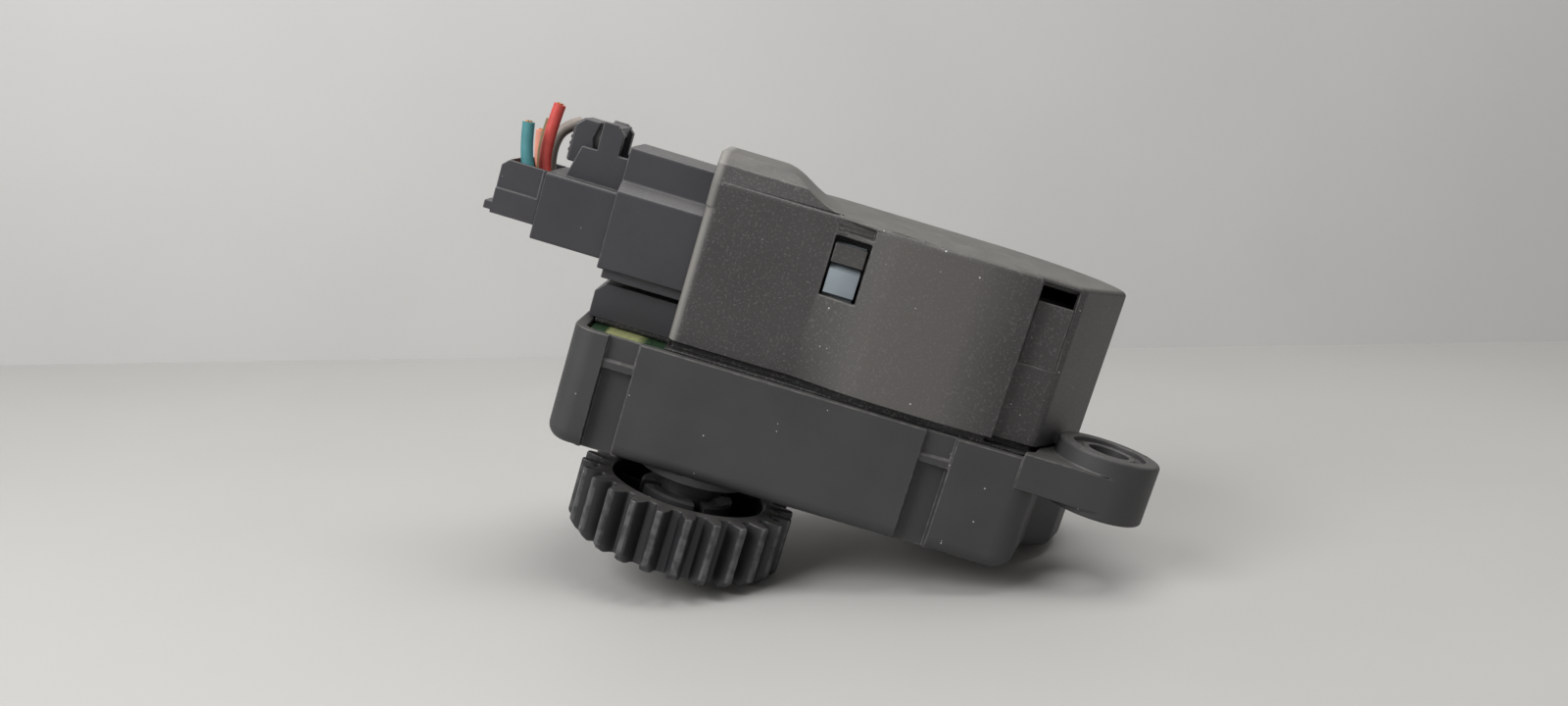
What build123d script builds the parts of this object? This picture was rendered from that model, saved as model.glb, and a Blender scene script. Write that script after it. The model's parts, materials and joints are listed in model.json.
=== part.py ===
from build123d import *
import os
from math import acos, atan2, cos, degrees, hypot, pi, radians, sin, tan

# Motorised actuator head: a stepper motor turns an output gear through two compound wheels.
# Frame, in millimetres: the origin is on the output axis, at the lower casing's bottom face.
# +X runs along the casing to the front screw ear, +Y to the back, +Z up to the casing's top.

# Lower casing
WALL = 1.6
RIM_Z = 16.9
FRONT_Y = -10.2
BOTTOM_ROUND = 2.2
LOWER_CORNERS = [
    (-21.6, FRONT_Y, 3.5),
    (46.8, FRONT_Y, 4.5),
    (50.8, 3.6, 2.0),
    (56.2, 9.2, 3.0),
    (58.8, 16.0, 4.0),
    (58.8, 25.0, 5.0),
    (51.0, 31.6, 7.0),
    (-14.0, 31.6, 4.0),
    (-21.6, 24.0, 4.0),
]
SLOT_WIDTH = 4.5
SLOT_CENTRES = (-14.0, 32.25)
SLOT_BAR_Z = (12.2, 13.4)
SLOT_DEEP, SLOT_SHALLOW = 1.9, 0.9

# Screw ears
EAR_HOLE_R = 3.0
EAR_RECESS_R, EAR_RECESS_DEPTH = 5.4, 0.9
FRONT_EAR = (57.1, -2.9)
FRONT_EAR_R = 7.5
FRONT_EAR_Z = (11.2, 20.35)
FRONT_ARM_Z = (12.4, 17.7)
REAR_EAR = (8.0, 38.2)
REAR_EAR_R = 6.6

# Upper casing
UPPER_Z = 18.1
TOP_Z = 41.9
UPPER_WALL = 1.5
LEFT_X = -8.6
WALL_A_Y = -7.2
BLOCK_TOP_Z = 45.6
BLOCK_DEPTH = 16.0
JOINT_GAP = 0.2
DECK_Z = 17.2
FOOT_Y = -1.6

# Snap windows in the upper casing: low x, high x, low z, high z
CATCH_WINDOW = (10.0, 15.2, 30.5, 39.2)
SIDE_WINDOW = (39.6, 45.0, 29.3, 41.0)

# Gear train: teeth and modules, the axes' places follow from them
FINE, COARSE, OUTER = 0.5, 0.8, 1.25
MOTOR_TEETH, FIRST_BIG, FIRST_SMALL = 12, 44, 14
SECOND_BIG, SECOND_SMALL, INNER_TEETH = 38, 14, 18
OUTPUT_TEETH = 24
INNER_PRESSURE, OUTER_PRESSURE = 25.0, 20.0
BACKLASH = 0.10
SECOND_AXIS_ANGLE = 45.0
OUTPUT_TOOTH_ANGLE = -83.8

# Output gear
GEAR_TOP_Z, GEAR_BOTTOM_Z = -3.5, -12.95
RECESS_R = 11.6
HUB_R, HUB_Z = 7.0, (-14.1, -4.1)
DRIVE_R, DRIVE_FLAT = 4.5, 3.8
JOURNAL_R, BUSH_R = 5.0, 7.0

# Motor
MOTOR = (35.4, 10.4)
MOTOR_R = 16.0
MOTOR_Z = (17.2, 38.6)
SHEET = 0.8
MAGNET_R = 8.4
ROTOR_SHAFT_R = 1.0

# Carrier plate, axles and circuit board
CARRIER_Z = (13.2, 14.8)
AXLE_R = 0.75
RUNNING = 0.05
BOARD_Z = (14.8, 16.4)

# Connector: socket on the casing, plug and its wires
CONNECTOR_Y = 5.1
PITCH, WAYS = 2.5, 5
PIN_Z, PIN_SIDE = 30.5, 0.64
SOCKET_X, SOCKET_FLOOR_X = -21.2, -7.0
SOCKET_Y, SOCKET_Z = (-4.4, 14.6), (24.6, 37.4)
SOCKET_TOP_Y, SOCKET_TOP_Z = (-2.1, 12.3), 42.3
PLUG_X, PLUG_Y, PLUG_Z = (-31.8, -7.3), (-2.7, 12.9), (25.65, 35.5)
PLUG_GAP = 0.3
WIRE_R = 0.9
WIRE_START_X = -11.8
WIRE_ROUTES = {
    "wire_red": [(-21, 2.65, 30.42), (-29.4, 2.6, 30.5), (-32.9, 2.8, 33.9), (-33.9, 3.1, 39.3),
                 (-33.3, 2.9, 44.8)],
    "wire_teal": [(-21, 0.15, 30.42), (-30.0, 0.1, 30.5), (-34.3, 0.2, 33.4), (-36.0, 0.3, 37.4),
                  (-36.5, 0.2, 41.3)],
    "wire_brown": [(-21, 5.05, 30.42), (-29.6, 5.1, 30.5), (-33.4, 5.0, 33.8), (-34.6, 4.9, 38.2),
                   (-34.2, 4.8, 42.2)],
    "wire_grey": [(-21, 7.65, 30.42), (-29.2, 7.6, 30.5), (-33.0, 7.7, 33.6), (-33.9, 8.1, 38.2),
                  (-33.0, 8.9, 41.6), (-30.7, 9.7, 42.8)],
    "wire_orange": [(-21, 10.15, 30.42), (-30.2, 10.1, 30.5), (-34.3, 10.0, 33.2),
                    (-35.8, 9.9, 36.6), (-36.2, 9.7, 40.0)],
}


# Shape helpers

def box(x, y, z):
    """Box between the two limits given for each axis."""
    centre = Pos((x[0] + x[1]) / 2, (y[0] + y[1]) / 2, (z[0] + z[1]) / 2)
    return centre * Box(x[1] - x[0], y[1] - y[0], z[1] - z[0])


def post(place, radius, z):
    """Upright cylinder at place (x, y), between two heights."""
    return Pos(place[0], place[1], (z[0] + z[1]) / 2) * Cylinder(radius, z[1] - z[0])


def tube(place, outer, inner, z):
    """Upright ring of two radii at place (x, y), between two heights."""
    return post(place, outer, z) - post(place, inner, z)


def slab(face, z):
    """Plan face raised between two heights."""
    return extrude(Pos(0, 0, z[0]) * face, z[1] - z[0])


def plan(corners):
    """Plan face from (x, y, corner radius) triples in order."""
    line = FilletPolyline(*[(x, y) for x, y, _ in corners], radius=[r for *_, r in corners],
                          close=True)
    return make_face(line)


def inset(face, amount):
    """Plan face drawn in by an amount."""
    return offset(face, -amount, kind=Kind.INTERSECTION)


def polar(radius, angle):
    """Point at a radius and an angle in radians."""
    return (radius * cos(angle), radius * sin(angle))


def bearing(start, end):
    """Direction in radians from one plan point to another."""
    return atan2(end[1] - start[1], end[0] - start[0])


def third_corner(start, start_radius, end, end_radius):
    """Point at the given distances from two plan points, on the right of the line between."""
    span = hypot(end[0] - start[0], end[1] - start[1])
    swing = acos((start_radius**2 + span**2 - end_radius**2) / (2 * start_radius * span))
    x, y = polar(start_radius, bearing(start, end) - swing)
    return (start[0] + x, start[1] + y)


# Gears

def gear_face(teeth, module, phase, pressure=INNER_PRESSURE, addendum=0.95, dedendum=1.2):
    """Involute spur gear outline with one tooth centred on the angle phase, in radians."""
    pitch_r = module * teeth / 2
    base_r = pitch_r * cos(radians(pressure))
    tip_r, root_r = pitch_r + addendum * module, pitch_r - dedendum * module
    foot_r = max(base_r * 1.0001, root_r)
    half_at_pitch = (pi * module / 2 - BACKLASH) / 2 / pitch_r

    def involute(roll):
        return tan(roll) - roll

    def half_width(radius):
        return half_at_pitch + involute(radians(pressure)) - involute(acos(base_r / radius))

    def flank(middle, side):
        radii = (foot_r, (foot_r + tip_r) / 2, tip_r)
        return [polar(r, middle + side * half_width(r)) for r in radii]

    edges = []
    for tooth in range(teeth):
        middle = phase + 2 * pi * tooth / teeth
        rising, falling = flank(middle, -1), flank(middle, 1)[::-1]
        foot_half, half_pitch = half_width(foot_r), pi / teeth
        roots = [polar(root_r, middle + side * foot_half) for side in (-1, 1)]
        if foot_r > root_r:
            edges.append(Line(roots[0], rising[0]))
        edges.append(ThreePointArc(*rising))
        edges.append(ThreePointArc(rising[-1], polar(tip_r, middle), falling[0]))
        edges.append(ThreePointArc(*falling))
        if foot_r > root_r:
            edges.append(Line(falling[-1], roots[1]))
        next_root = polar(root_r, middle + 2 * half_pitch - foot_half)
        edges.append(ThreePointArc(roots[1], polar(root_r, middle + half_pitch), next_root))
    return make_face(Wire(edges))


def spur(place, z, teeth, module, phase, **shape):
    """Solid spur gear at place (x, y), between two heights."""
    return slab(Pos(place[0], place[1]) * gear_face(teeth, module, phase, **shape), z)


def distance(teeth_a, teeth_b, module):
    """Centre distance of two meshed gears."""
    return module * (teeth_a + teeth_b) / 2


OUTPUT = (0.0, 0.0)
SECOND = polar(distance(SECOND_SMALL, INNER_TEETH, COARSE), radians(SECOND_AXIS_ANGLE))
FIRST = third_corner(SECOND, distance(FIRST_SMALL, SECOND_BIG, FINE),
                     MOTOR, distance(MOTOR_TEETH, FIRST_BIG, FINE))


def gap_phase(place, partner, teeth):
    """Phase that turns a gap of the gear at place towards its partner's tooth."""
    return bearing(place, partner) + pi / teeth


def first_wheel():
    """Compound wheel driven by the motor pinion."""
    body = spur(FIRST, (11.2, 12.7), FIRST_BIG, FINE, gap_phase(FIRST, MOTOR, FIRST_BIG))
    body += spur(FIRST, (7.9, 11.2), FIRST_SMALL, FINE, bearing(FIRST, SECOND))
    body += post(FIRST, 2.2, (2.5, 7.9)) + post(FIRST, 1.8, (12.7, 13.0))
    return body - post(FIRST, AXLE_R + RUNNING, (2.0, 13.5))


def second_wheel():
    """Compound wheel between the first wheel and the output wheel."""
    body = spur(SECOND, (8.3, 10.4), SECOND_BIG, FINE, gap_phase(SECOND, FIRST, SECOND_BIG))
    body += spur(SECOND, (2.5, 7.9), SECOND_SMALL, COARSE, bearing(SECOND, OUTPUT))
    body += post(SECOND, 3.2, (7.9, 8.3)) + post(SECOND, 1.2, (10.4, 13.0))
    return body - post(SECOND, AXLE_R + RUNNING, (2.0, 13.5))


def drive_stub(radius, flat, z):
    """Round drive with two flats."""
    return post(OUTPUT, radius, z) & box((-flat, flat), (-radius, radius), z)


def output_wheel():
    """Last wheel of the train, moulded with the output shaft."""
    body = spur(OUTPUT, (2.6, 7.6), INNER_TEETH, COARSE, gap_phase(OUTPUT, SECOND, INNER_TEETH))
    body += post(OUTPUT, 2.0, (7.6, 14.6)) + post(OUTPUT, JOURNAL_R, (-3.6, 2.6))
    return body + drive_stub(DRIVE_R, DRIVE_FLAT, (-14.4, -3.6))


def output_gear():
    """Outer spur gear with a recessed face and a split snap hub."""
    tip_r = OUTER * (OUTPUT_TEETH / 2 + 1)
    height = (GEAR_BOTTOM_Z, GEAR_TOP_Z)
    blank = Pos(0, 0, sum(height) / 2) * Cylinder(tip_r + 0.02, height[1] - height[0])
    blank = chamfer(blank.edges().filter_by(GeomType.CIRCLE).sort_by(Axis.Z)[0], 1.2)
    teeth = spur(OUTPUT, height, OUTPUT_TEETH, OUTER, radians(OUTPUT_TOOTH_ANGLE),
                 pressure=OUTER_PRESSURE, addendum=1.0)
    body = (blank & teeth) - tube(OUTPUT, RECESS_R, HUB_R, (-9.8, 0))
    body -= tube(OUTPUT, RECESS_R, HUB_R + 1.4, (-14, -11.6)) + post(OUTPUT, HUB_R, (HUB_Z[1], 0))
    body += post(OUTPUT, HUB_R, HUB_Z)
    for rib in range(4):
        body += Rot(0, 0, 156 + 90 * rib) * box((6.5, 11.9), (-0.6, 0.6), (-10.5, -6.2))
        body -= Rot(0, 0, 111 + 90 * rib) * box((3.0, 8.5), (-0.8, 0.8), (-9.0, 0))
    return body - drive_stub(DRIVE_R + RUNNING, DRIVE_FLAT + RUNNING, (-15, 0))


def motor_pinion():
    """Pinion pressed on the rotor shaft."""
    body = spur(MOTOR, (10.9, 13.6), MOTOR_TEETH, FINE, bearing(MOTOR, FIRST))
    return body - post(MOTOR, ROTOR_SHAFT_R, (10, 14))


# Motor

def motor_base():
    """Sheet steel plate that closes the motor below."""
    return tube(MOTOR, MOTOR_R, 4.0, (MOTOR_Z[0], MOTOR_Z[0] + SHEET))


def motor_can():
    """Drawn sheet steel cup with a hole for the upper bush."""
    low, high = MOTOR_Z[0] + SHEET, MOTOR_Z[1]
    cup = post(MOTOR, MOTOR_R, (low, high))
    cup = fillet(cup.edges().filter_by(GeomType.CIRCLE).sort_by(Axis.Z)[-1], 1.0)
    return cup - post(MOTOR, MOTOR_R - SHEET, (low - 1, high - SHEET)) - post(MOTOR, 3.2, (30, 50))


COIL_Z = [(18.7, 27.7), (28.5, 37.2)]


def coil_bobbins():
    """Two moulded bobbins, one over the other."""
    parts = []
    for low, high in COIL_Z:
        ring = tube(MOTOR, 15.0, 9.9, (low, high))
        parts.append(ring - tube(MOTOR, 16.0, 10.7, (low + 0.8, high - 0.8)))
    return parts


def coil_windings():
    """Copper winding on each bobbin."""
    return [tube(MOTOR, 14.5, 10.75, (low + 0.85, high - 0.85)) for low, high in COIL_Z]


def pole_plates():
    """Claw-pole plates with bent fingers around the rotor."""
    parts = []
    for z, fingers in ((18.05, (18.05, 25.5)), (27.75, (20.5, 35.5)), (37.25, (30.5, 37.75))):
        plate = tube(MOTOR, 15.1, 8.9, (z, z + 0.5))
        collar = tube(MOTOR, 9.7, 8.9, fingers)
        turn = 15 if z == 27.75 else 0
        for finger in range(12):
            claw = Rot(0, 0, 30 * finger + turn) * box((8.0, 10.5), (-0.9, 0.9), fingers)
            plate += collar & (Pos(MOTOR[0], MOTOR[1]) * claw)
        parts.append(plate)
    return parts


def motor_bushings():
    """Sintered bushes above and below the rotor."""
    bore = ROTOR_SHAFT_R + 0.04
    lower = tube(MOTOR, 4.0, bore, (15.6, 18.4)) + tube(MOTOR, 3.0, bore, (18.4, 19.6))
    upper = tube(MOTOR, 3.2, bore, (37.0, 39.6))
    return [lower, upper]


def motor_terminals():
    """Five flat leads from the motor down to the circuit board."""
    parts = []
    for way in range(WAYS):
        y = MOTOR[1] + 2.0 * (way - 2)
        span = (y - 0.35, y + 0.35)
        edge = MOTOR[0] - (MOTOR_R**2 - (y - MOTOR[1]) ** 2) ** 0.5 - 0.1
        lead = box((4.0, edge), span, (19.6, 20.0)) + box((4.0, 4.4), span, (BOARD_Z[1], 20.0))
        parts.append(lead)
    return parts


def rotor_magnet():
    """Ring magnet."""
    return tube(MOTOR, MAGNET_R, 4.5, (20.4, 36.0))


def rotor_hub():
    """Moulded hub between magnet and shaft."""
    return tube(MOTOR, 4.5, ROTOR_SHAFT_R, (20.2, 36.2))


def rotor_shaft():
    """Steel shaft through both bushes."""
    return post(MOTOR, ROTOR_SHAFT_R, (10.7, 40.0))


# Casings

def front_arm():
    """Arm and boss of the front screw ear, before the hole is cut."""
    x, y = FRONT_EAR
    front = y - FRONT_EAR_R
    outline = Polyline((44, front), (x, front), (x, y + 6.4), (47.5, y + 6.4), close=True)
    arm = slab(make_face(outline), FRONT_ARM_Z)
    boss = post(FRONT_EAR, FRONT_EAR_R, FRONT_EAR_Z)
    rims = boss.edges().filter_by(GeomType.CIRCLE)
    return arm + fillet(rims, 0.5)


def rear_arm():
    """Arm and boss of the rear screw ear, before the hole is cut."""
    x, y = REAR_EAR
    reach = REAR_EAR_R
    arm = box((x - reach, x + reach), (30.5, y), FRONT_ARM_Z)
    return arm + post(REAR_EAR, reach, (FRONT_EAR_Z[0], FRONT_ARM_Z[1] + 0.8))


def ear_hole(place, top):
    """Screw hole with a shallow recess and a raised inner rim."""
    recess = tube(place, EAR_RECESS_R, EAR_HOLE_R + 0.9, (top - EAR_RECESS_DEPTH, top + 1))
    rim = post(place, EAR_HOLE_R + 1.0, (top - 0.35, top + 1))
    return post(place, EAR_HOLE_R, (0, 40)) + recess + rim


def lower_casing():
    """Open tray that holds the gear train, with the screw ears."""
    outline = plan(LOWER_CORNERS)
    shell = slab(outline, (0, RIM_Z))
    shell = fillet(shell.faces().sort_by(Axis.Z)[0].edges(), BOTTOM_ROUND)
    cavity = slab(inset(outline, WALL), (WALL, RIM_Z + 1))
    body = (shell + front_arm() + rear_arm()) - cavity
    for x in SLOT_CENTRES:
        half = SLOT_WIDTH / 2
        body += box((x - half - 0.8, x + half + 0.8), (FRONT_Y + 1, FRONT_Y + WALL + 1.2),
                    (0.2, CARRIER_Z[0] - 0.2))
        body -= box((x - half, x + half), (FRONT_Y - 1, FRONT_Y + SLOT_DEEP), (-1, SLOT_BAR_Z[0]))
        body -= box((x - half, x + half), (FRONT_Y - 1, FRONT_Y + SLOT_SHALLOW),
                    (SLOT_BAR_Z[1], RIM_Z + 1))
        body -= box((x - half, x + half), (FRONT_Y - 1, FRONT_Y + 0.4), SLOT_BAR_Z)
    body += post(OUTPUT, BUSH_R + 1.6, (-1.2, WALL))
    body += post(FIRST, 2.2, (1.0, 2.3)) + post(SECOND, 2.2, (1.0, 2.3))
    body -= post(OUTPUT, BUSH_R, (-2, 3))
    for place in (FIRST, SECOND):
        body -= post(place, AXLE_R, (0.8, 3))
    body -= post(MOTOR, MOTOR_R + 0.4, (RIM_Z, 30))
    body -= ear_hole(FRONT_EAR, FRONT_EAR_Z[1])
    return body - ear_hole(REAR_EAR, FRONT_ARM_Z[1] + 0.8)


def upper_plan():
    """Plan outline of the upper casing, with its round motor end."""
    x, y = MOTOR
    radius = 19.6
    start = (x + radius * cos(radians(-5)), y + radius * sin(radians(-5)))
    middle = (x + radius * cos(radians(42)), y + radius * sin(radians(42)))
    lines = [
        Line((LEFT_X, 19), (LEFT_X, WALL_A_Y)),
        Line((LEFT_X, WALL_A_Y), (9.5, WALL_A_Y)),
        Line((9.5, WALL_A_Y), (17.0, -9.2)),
        ThreePointArc((17.0, -9.2), (28.5, -9.75), (39.1, -9.0)),
        Line((39.1, -9.0), (39.1, -7.2)),
        Line((39.1, -7.2), (45.8, -6.6)),
        Line((45.8, -6.6), start),
        ThreePointArc(start, middle, (x, y + radius)),
        Line((x, y + radius), (10, y + radius)),
        Line((10, y + radius), (LEFT_X, 19)),
    ]
    return make_face(Wire([line.edge() for line in lines]))


def raised_block():
    """Block over the connector, which runs down to the casing's top in an S-curve."""
    low = TOP_Z - 4
    side = [
        Line((LEFT_X, low), (LEFT_X, BLOCK_TOP_Z)),
        Line((LEFT_X, BLOCK_TOP_Z), (0.6, BLOCK_TOP_Z)),
        Spline((0.6, BLOCK_TOP_Z), (5.2, 43.7), (10.6, TOP_Z - 0.01),
               tangents=[(1, -0.12), (1, -0.1)]),
        Line((10.6, TOP_Z - 0.01), (10.6, low)),
        Line((10.6, low), (LEFT_X, low)),
    ]
    face = make_face(Wire([line.edge() for line in side]))
    along = extrude(Plane.XZ * face, -BLOCK_DEPTH) + extrude(Plane.XZ * face, -WALL_A_Y)
    lean = Polyline((WALL_A_Y, low), (WALL_A_Y, 41.1), (-5.9, 44.0), (-3.4, BLOCK_TOP_Z),
                    (14.4, BLOCK_TOP_Z), (BLOCK_DEPTH, 44.0), (BLOCK_DEPTH, low), close=True)
    across = extrude(Plane.YZ.offset(LEFT_X - 1) * make_face(lean), 21)
    return along & across


def upper_casing():
    """Cover over the motor and the circuit board, open below."""
    outline = upper_plan()
    inner = inset(outline, UPPER_WALL)
    shell = slab(outline, (UPPER_Z, TOP_Z))
    upright = shell.edges().filter_by(Axis.Z).sort_by(Axis.X)
    corners = [e for e in upright if e.center().X < LEFT_X + 0.1 and e.center().Y < 0]
    corners += [e for e in upright if 45 < e.center().X < 47]
    shell = fillet(corners, 1.8)
    shell = fillet(shell.faces().sort_by(Axis.Z)[-1].edges(), 0.8)
    body = shell + raised_block()
    rim = inset(plan(LOWER_CORNERS), WALL + JOINT_GAP)
    deck = (RIM_Z - 0.4, DECK_Z)
    keep = box((LEFT_X, 70), (-30, 60), deck) + box((-30, LEFT_X + 1), (FOOT_Y, 60), deck)
    body += slab(inset(outline, 0.8), (DECK_Z - 0.2, UPPER_Z + 0.2)) & slab(rim, (16, 19))
    body += slab(rim, deck) & keep
    body -= slab(inner, (DECK_Z, TOP_Z - UPPER_WALL))
    body -= slab(inset(rim, 1.4), (15, DECK_Z + 1)) & slab(inner, (15, DECK_Z + 1))
    body -= post(MOTOR, MOTOR_R + JOINT_GAP, (15, UPPER_Z))
    body -= box((LEFT_X + UPPER_WALL, 0.6), (-3.6, BLOCK_DEPTH - 1.6), (35, BLOCK_TOP_Z - 1.5))
    for low_x, high_x, low_z, high_z in (CATCH_WINDOW, SIDE_WINDOW):
        body -= box((low_x, high_x), (-12, -4.2), (low_z, high_z))
    low_x, high_x, low_z, high_z = CATCH_WINDOW
    body -= box((low_x, high_x), (-12, -7.5), (high_z + 0.6, 41.3))
    body -= box((low_x, high_x), (27, 33), (low_z, high_z))
    return body - socket_outside()


# Carrier, board and axles

def gear_carrier():
    """Plate over the gear train that carries the motor, with two snap legs."""
    plate = slab(inset(plan(LOWER_CORNERS), WALL + JOINT_GAP), CARRIER_Z)
    plate += tube(MOTOR, MOTOR_R - 1.4, MOTOR_R - 3.0, (CARRIER_Z[1], MOTOR_Z[0]))
    low_x, high_x, low_z, _ = CATCH_WINDOW
    for foot_y, toe_y in ((-4.2, -7.0), (26.6, 29.6)):
        side = 1 if toe_y > foot_y else -1
        leg = sorted((foot_y, foot_y + side * 1.2))
        plate += box((low_x + 0.4, high_x - 0.4), leg, (CARRIER_Z[1], 38.2))
        catch = make_face(Polyline((foot_y, low_z + 0.5), (toe_y, low_z + 0.5),
                                   (toe_y, 34.4), (foot_y + side * 1.2, 35.2),
                                   (foot_y, 35.2), close=True))
        plate += extrude(Plane.YZ.offset(low_x + 0.4) * catch, high_x - low_x - 0.8)
    plate -= post(OUTPUT, 2.0 + RUNNING, (12, 16)) + post(MOTOR, 4.0, (12, 16))
    return plate - post(FIRST, AXLE_R, (12, 16)) - post(SECOND, AXLE_R, (12, 16))


def circuit_board():
    """Board under the connector."""
    face = plan([(-19.6, -6.6, 1.5), (6.6, -6.6, 1.0), (6.6, 27.0, 1.0), (-14.0, 27.0, 3.0),
                 (-19.6, 22.0, 3.0)])
    return slab(face, BOARD_Z)


def board_parts():
    """Driver chip, two round capacitors and a row of small parts."""
    top = BOARD_Z[1]
    parts = [box((-5.0, 2.0), (12.4, 18.6), (top, top + 1.6))]
    parts += [post((x, -1.6), 1.8, (top, top + 4.5)) for x in (-1.5, 3.0)]
    parts += [box((x, x + 1.6), (-5.4, -4.4), (top, top + 0.5)) for x in (-4.5, -2.5, -0.5)]
    return parts


def axle(place):
    """Steel pin that a compound wheel turns on."""
    return post(place, AXLE_R, (0.8, CARRIER_Z[1]))


def output_bushing():
    """Plain bearing of the output shaft."""
    return tube(OUTPUT, BUSH_R, JOURNAL_R + RUNNING, (-1.2, 2.2))


def thrust_washer():
    """Washer between the bushing and the output wheel."""
    return tube(OUTPUT, 6.3, JOURNAL_R + 0.1, (2.2, 2.5))


# Connector

def ways():
    """Y of each way of the connector."""
    return [CONNECTOR_Y + PITCH * (way - (WAYS - 1) / 2) for way in range(WAYS)]


def socket_outside():
    """Outer shape of the socket, a wide part and a narrower top."""
    high_z = SOCKET_Z[1]
    outline = Polyline((SOCKET_Y[0], SOCKET_Z[0]), (SOCKET_Y[0], high_z - 1.5),
                       (SOCKET_TOP_Y[0], high_z), (SOCKET_TOP_Y[0], SOCKET_TOP_Z),
                       (SOCKET_TOP_Y[1], SOCKET_TOP_Z), (SOCKET_TOP_Y[1], high_z),
                       (SOCKET_Y[1], high_z - 1.5), (SOCKET_Y[1], SOCKET_Z[0]), close=True)
    body = extrude(Plane.YZ.offset(SOCKET_X) * make_face(outline), SOCKET_FLOOR_X + 1.6 - SOCKET_X)
    return fillet(body.edges().filter_by(Axis.X), 0.5)


def header_shell():
    """Socket that the plug enters, with the foot that stands on the board's edge."""
    body = socket_outside()
    inside = (SOCKET_X - 1, SOCKET_FLOOR_X)
    body -= box(inside, (PLUG_Y[0] - PLUG_GAP, PLUG_Y[1] + PLUG_GAP),
                (PLUG_Z[0] - PLUG_GAP, PLUG_Z[1] + PLUG_GAP))
    body -= box(inside, (-0.8, 11.0), (35, 40.9))
    body += box((-20.4, LEFT_X), (-3.4, 13.6), (23.3, SOCKET_Z[0]))
    body += box((-17.5, LEFT_X), (1.0, 9.2), (21, 23.5))
    foot = make_face(Polyline((-20.9, DECK_Z), (-20.9, 21.0), (-19.6, 22.4), (LEFT_X, 22.4),
                              (LEFT_X, DECK_Z), close=True))
    body += extrude(Plane.XZ.offset(-FOOT_Y) * foot, -15.6)
    for y in ways():
        half = PIN_SIDE / 2
        body -= box((-8, -5), (y - half, y + half), (PIN_Z - half, PIN_Z + half))
    return body


def header_pins():
    """Square pins from the socket down to the board."""
    half = PIN_SIDE / 2
    parts = []
    for y in ways():
        pin = box((-11.0, -3.9), (y - half, y + half), (PIN_Z - half, PIN_Z + half))
        parts.append(pin + box((-3.9 - PIN_SIDE, -3.9), (y - half, y + half),
                               (BOARD_Z[1], PIN_Z + half)))
    return parts


def plug_housing():
    """Plug body with a channel for each wire and a guarded top."""
    body = box(PLUG_X, PLUG_Y, PLUG_Z)
    body = fillet(body.edges().filter_by(Axis.X), 0.5)
    for low_y, high_y in ((-0.5, 1.4), (8.8, 10.7)):
        rail = Polyline((-29.6, PLUG_Z[1] - 0.6), (-28.2, 40.25), (-26.0, 40.25), (-26.0, 44.5),
                        (-24.0, 44.5), (-22.8, 43.4), (-22.8, 40.25), (-9.0, 40.25),
                        (-9.0, PLUG_Z[1] - 0.6), close=True)
        body += extrude(Plane.XZ.offset(-high_y) * make_face(rail), high_y - low_y)
    body += box((-26.0, -23.4), (-0.5, 10.7), (42.6, 44.2))
    body -= box((-33, -27.2), (-1.2, 11.4), (29.2, 34.9))
    for y in ways():
        body -= Pos(-20, y, PIN_Z) * Rot(0, 90, 0) * Cylinder(WIRE_R + 0.15, 30)
        body -= box((WIRE_START_X, -7), (y - 1.0, y + 1.0), (PIN_Z - 1.0, PIN_Z + 1.0))
    return body


def plug_terminals():
    """Box terminal of each wire."""
    parts = []
    for y in ways():
        sleeve = box((WIRE_START_X, -7.5), (y - 0.95, y + 0.95), (PIN_Z - 0.95, PIN_Z + 0.95))
        parts.append(sleeve - box((WIRE_START_X + 0.3, -7), (y - 0.6, y + 0.6),
                                  (PIN_Z - 0.6, PIN_Z + 0.6)))
    return parts


def plug_cover():
    """Open-topped cover behind the plug that turns the wires upward."""
    low_x, high_x = -38.25, PLUG_X[0]
    body = box((low_x, high_x), (-2.5, 12.7), (27.6, 35.55))
    body = chamfer(body.edges().filter_by(Axis.Y).sort_by(Axis.X)[:2].sort_by(Axis.Z)[-1], 0.9)
    body -= box((low_x - 1, high_x - 0.4), (-4, -2.15), (31.3, 40))
    body -= box((low_x - 1, high_x - 0.4), (12.35, 14), (31.3, 40))
    body -= box((low_x + 1.0, high_x + 1), (-1.3, 11.5), (28.8, 40))
    return body + box((-39.3, low_x + 0.5), (-2.5, 1.5), (28.0, 29.2))


def latch_lever():
    """Thumb lever over the plug, between the two rails."""
    outline = [(-30.4, 37.5), (-30.4, 42.9), (-29.2, 44.1), (-26.6, 44.1), (-27.2, 41.6),
               (-26.6, 38.7), (-13.2, 38.7), (-13.2, 35.85), (-14.8, 35.85), (-14.8, 37.5)]
    return extrude(Plane.XZ.offset(-8.1) * make_face(Polyline(*outline, close=True)), 6.0)


def wire(name, number):
    """Wire tube: straight runs joined by arcs as large as the runs allow."""
    start = (WIRE_START_X, ways()[number], PIN_Z)
    points = [Vector(*start)] + [Vector(*point) for point in WIRE_ROUTES[name]]
    runs = [(b - a) for a, b in zip(points, points[1:])]
    radii = []
    for before, after in zip(runs, runs[1:]):
        turn = radians(before.get_angle(after))
        radii.append(0.45 * min(before.length, after.length) / tan(turn / 2))
    line = FilletPolyline(*points, radius=radii)
    section = Plane(origin=points[0], z_dir=runs[0]) * Circle(WIRE_R)
    solid = sweep(section, path=line)
    print(f"{name}: length {line.length:.1f}, radii {[round(r, 1) for r in radii]},",
          f"volume over section times length {solid.volume / (pi * WIRE_R**2 * line.length):.3f}")
    return solid


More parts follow.
